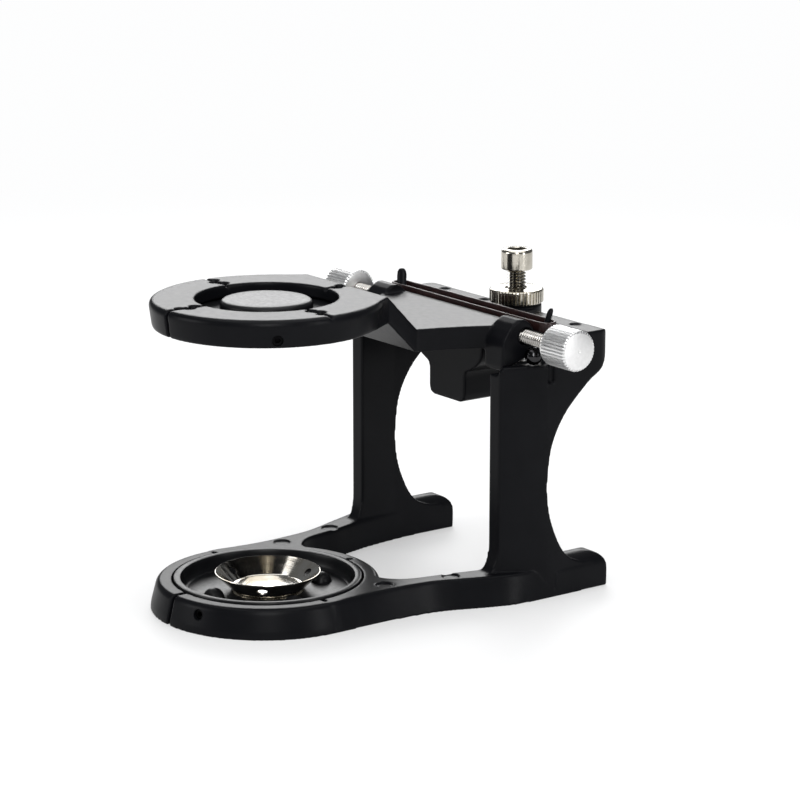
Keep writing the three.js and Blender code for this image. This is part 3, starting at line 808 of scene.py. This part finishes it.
def rubber_band():
    """One stretched loop of flat rubber with rounded edges, a little uneven along its length."""
    arc_steps, side_steps = 16, 24
    middle_line = []
    for end, start in ((HOOK_X, -math.pi / 2), (-HOOK_X, math.pi / 2)):
        for k in range(arc_steps + 1):
            angle = start + math.pi * k / arc_steps
            out = (math.cos(angle), math.sin(angle))
            middle_line.append((end + BAND_R * out[0], HOOK_Y + BAND_R * out[1], *out))
        for k in range(1, side_steps):
            x = end - 2 * end * k / side_steps
            rear = math.copysign(1, end)
            middle_line.append((x, HOOK_Y + rear * BAND_R, 0, rear))
    half_thick = 0.33
    half_tall = (BAND_TOP - BAND_LOW) / 2
    corners = 16
    section = []
    for k in range(corners):
        angle = 2 * math.pi * k / corners
        c, s = math.cos(angle), math.sin(angle)
        section.append((math.copysign(abs(c) ** 0.5, c) * half_thick,
                        math.copysign(abs(s) ** 0.35, s) * half_tall))
    verts = []
    for x, y, ox, oy in middle_line:
        wander = noise.noise(Vector((x * 0.12, y * 0.12, 3.0)))
        height = (BAND_LOW + BAND_TOP) / 2 + 0.12 * wander
        tall = 0.94 + 0.05 * wander
        for across, up in section:
            verts.append((x + ox * across, y + oy * across, height + up * tall))
    rows, sides = len(middle_line), len(section)
    faces = []
    for row in range(rows):
        after = (row + 1) % rows
        for k in range(sides):
            j = (k + 1) % sides
            faces.append((row * sides + k, after * sides + k, after * sides + j, row * sides + j))
    finish(solid(verts, faces), "rubber_band_look", RUBBER, "frame", crease=0)


# ---- carried-over CAD nodes ---------------------------------------------------------------
def small_nodes():
    finishes = {
        "lower_magnet": MAGNET, "upper_magnet": MAGNET,
        "lower_magnet_screw": NICKEL, "upper_magnet_screw": NICKEL, "stop_pad": NICKEL,
        "lower_ring_set_screw": DARK_STEEL, "upper_ring_set_screw": DARK_STEEL}
    for node, material in finishes.items():
        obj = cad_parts[node]
        obj.data.materials.clear()
        obj.data.materials.append(material)
        bevel = obj.modifiers.new("edge", "BEVEL")
        bevel.width = 0.08 * MM
        bevel.segments = 2
        bevel.limit_method = "ANGLE"
        bevel.angle_limit = math.radians(35)


# ---- camera, floor and light --------------------------------------------------------------
CAMERA_AZIMUTH = math.radians(55.208)
CAMERA_ELEVATION = math.radians(14.765)
CAMERA_DISTANCE = 0.7285
LOOK_AT = Vector((0, -0.00316, 0.0346))
AIM_RIGHT = 0.01281
AIM_UP = 0.01293
LENS = 132.77


def camera():
    """Stands off from LOOK_AT and aims a little to its right and above it."""
    flat = math.cos(CAMERA_ELEVATION)
    back = Vector((
        math.sin(CAMERA_AZIMUTH) * flat, -math.cos(CAMERA_AZIMUTH) * flat, math.sin(CAMERA_ELEVATION)))
    right = Vector((math.cos(CAMERA_AZIMUTH), math.sin(CAMERA_AZIMUTH), 0))
    up = right.cross(-back)
    place = LOOK_AT + back * CAMERA_DISTANCE
    aim = LOOK_AT + right * AIM_RIGHT + up * AIM_UP
    data = bpy.data.cameras.new("camera")
    data.lens = LENS
    data.sensor_width = 36
    data.clip_start, data.clip_end = 0.01, 50
    obj = bpy.data.objects.new("camera", data)
    obj.location = place
    obj.rotation_euler = (aim - place).to_track_quat("-Z", "Y").to_euler()
    bpy.context.scene.collection.objects.link(obj)
    bpy.context.scene.camera = obj


def area_light(name, place, aim, width, height, power):
    data = bpy.data.lights.new(name, "AREA")
    data.shape = "RECTANGLE"
    data.size, data.size_y = width, height
    data.energy = power
    obj = bpy.data.objects.new(name, data)
    obj.location = place
    obj.rotation_euler = (Vector(aim) - Vector(place)).to_track_quat("-Z", "Y").to_euler()
    bpy.context.scene.collection.objects.link(obj)


WHITE = (0.985, 0.987, 0.99, 1)


def floor():
    bpy.ops.mesh.primitive_circle_add(vertices=96, radius=6, fill_type="NGON", location=(0, 0, 0))
    obj = bpy.context.object
    obj.name = "floor"
    m = Nodes("floor_white")
    m.shader.inputs["Roughness"].default_value = 0.6
    m.shader.inputs["IOR"].default_value = 1.3
    # The floor glows a little in the camera's view, and fades into the white backdrop far off.
    length = m.add("ShaderNodeVectorMath", operation="LENGTH")
    m.link(m.place, length.inputs[0])
    far = m.add("ShaderNodeMapRange", interpolation_type="SMOOTHSTEP")
    far.inputs["From Min"].default_value = 0.15
    far.inputs["From Max"].default_value = 0.6
    far.inputs["To Min"].default_value = 0.25
    m.link(length.outputs["Value"], far.inputs["Value"])
    seen = m.add("ShaderNodeLightPath")
    tone = m.add("ShaderNodeMix", data_type="RGBA")
    tone.inputs["A"].default_value = (0.6, 0.6, 0.6, 1)
    tone.inputs["B"].default_value = (0.73, 0.732, 0.735, 1)
    m.link(seen.outputs["Is Camera Ray"], tone.inputs["Factor"])
    m.link(tone.outputs["Result"], m.shader.inputs["Base Color"])
    share = m.add("ShaderNodeMath", operation="MULTIPLY")
    m.link(far.outputs["Result"], share.inputs[0])
    m.link(seen.outputs["Is Camera Ray"], share.inputs[1])
    glow = m.add("ShaderNodeEmission")
    glow.inputs["Color"].default_value = WHITE
    mix = m.add("ShaderNodeMixShader")
    m.link(share.outputs["Value"], mix.inputs["Fac"])
    m.link(m.shader.outputs["BSDF"], mix.inputs[1])
    m.link(glow.outputs["Emission"], mix.inputs[2])
    m.link(mix.outputs["Shader"], m.tree.nodes["Material Output"].inputs["Surface"])
    obj.data.materials.append(m.material)


def backdrop():
    """White to the camera, softer as a light, and dim in reflections so that black stays black."""
    world = bpy.data.worlds.new("studio")
    bpy.context.scene.world = world
    world.use_nodes = True
    tree = world.node_tree
    tree.nodes.clear()
    out = tree.nodes.new("ShaderNodeOutputWorld")
    seen = tree.nodes.new("ShaderNodeLightPath")
    white = tree.nodes.new("ShaderNodeBackground")
    white.inputs["Color"].default_value = WHITE
    soft = tree.nodes.new("ShaderNodeBackground")
    soft.inputs["Strength"].default_value = 0.88
    dim = tree.nodes.new("ShaderNodeBackground")
    dim.inputs["Color"].default_value = (0.94, 0.97, 1.0, 1)
    dim.inputs["Strength"].default_value = 0.12
    away = tree.nodes.new("ShaderNodeMixShader")
    mix = tree.nodes.new("ShaderNodeMixShader")
    tree.links.new(seen.outputs["Is Glossy Ray"], away.inputs["Fac"])
    tree.links.new(soft.outputs["Background"], away.inputs[1])
    tree.links.new(dim.outputs["Background"], away.inputs[2])
    tree.links.new(seen.outputs["Is Camera Ray"], mix.inputs["Fac"])
    tree.links.new(away.outputs["Shader"], mix.inputs[1])
    tree.links.new(white.outputs["Background"], mix.inputs[2])
    tree.links.new(mix.outputs["Shader"], out.inputs["Surface"])


# Name, place, aim, width, height and power.
LIGHTS = [
    ("overhead", (0.0, 0.05, 0.8), (0, 0, 0), 0.9, 0.9, 4.0),
    ("back_left", (-0.75, 0.5, 0.42), (0, 0, 0.06), 0.6, 0.4, 4.0),
    ("front_right", (0.62, -0.42, 0.5), (0, 0, 0.05), 0.25, 0.6, 3.0),
    ("right", (0.8, 0.25, 0.25), (0, 0, 0.06), 0.12, 0.5, 1.4),
    ("front_left", (-0.35, -0.85, 0.3), (0, 0, 0.05), 0.4, 0.4, 2.0),
]


def studio():
    floor()
    backdrop()
    for light in LIGHTS:
        area_light(*light)
    bpy.context.scene.view_settings.view_transform = "Standard"


camera()
studio()
base_frame()
upper_frame()
lower_plate()
retention_cup()
upper_plate()
height_screw()
lock_nut()
thumbscrews()
rubber_band()
small_nodes()
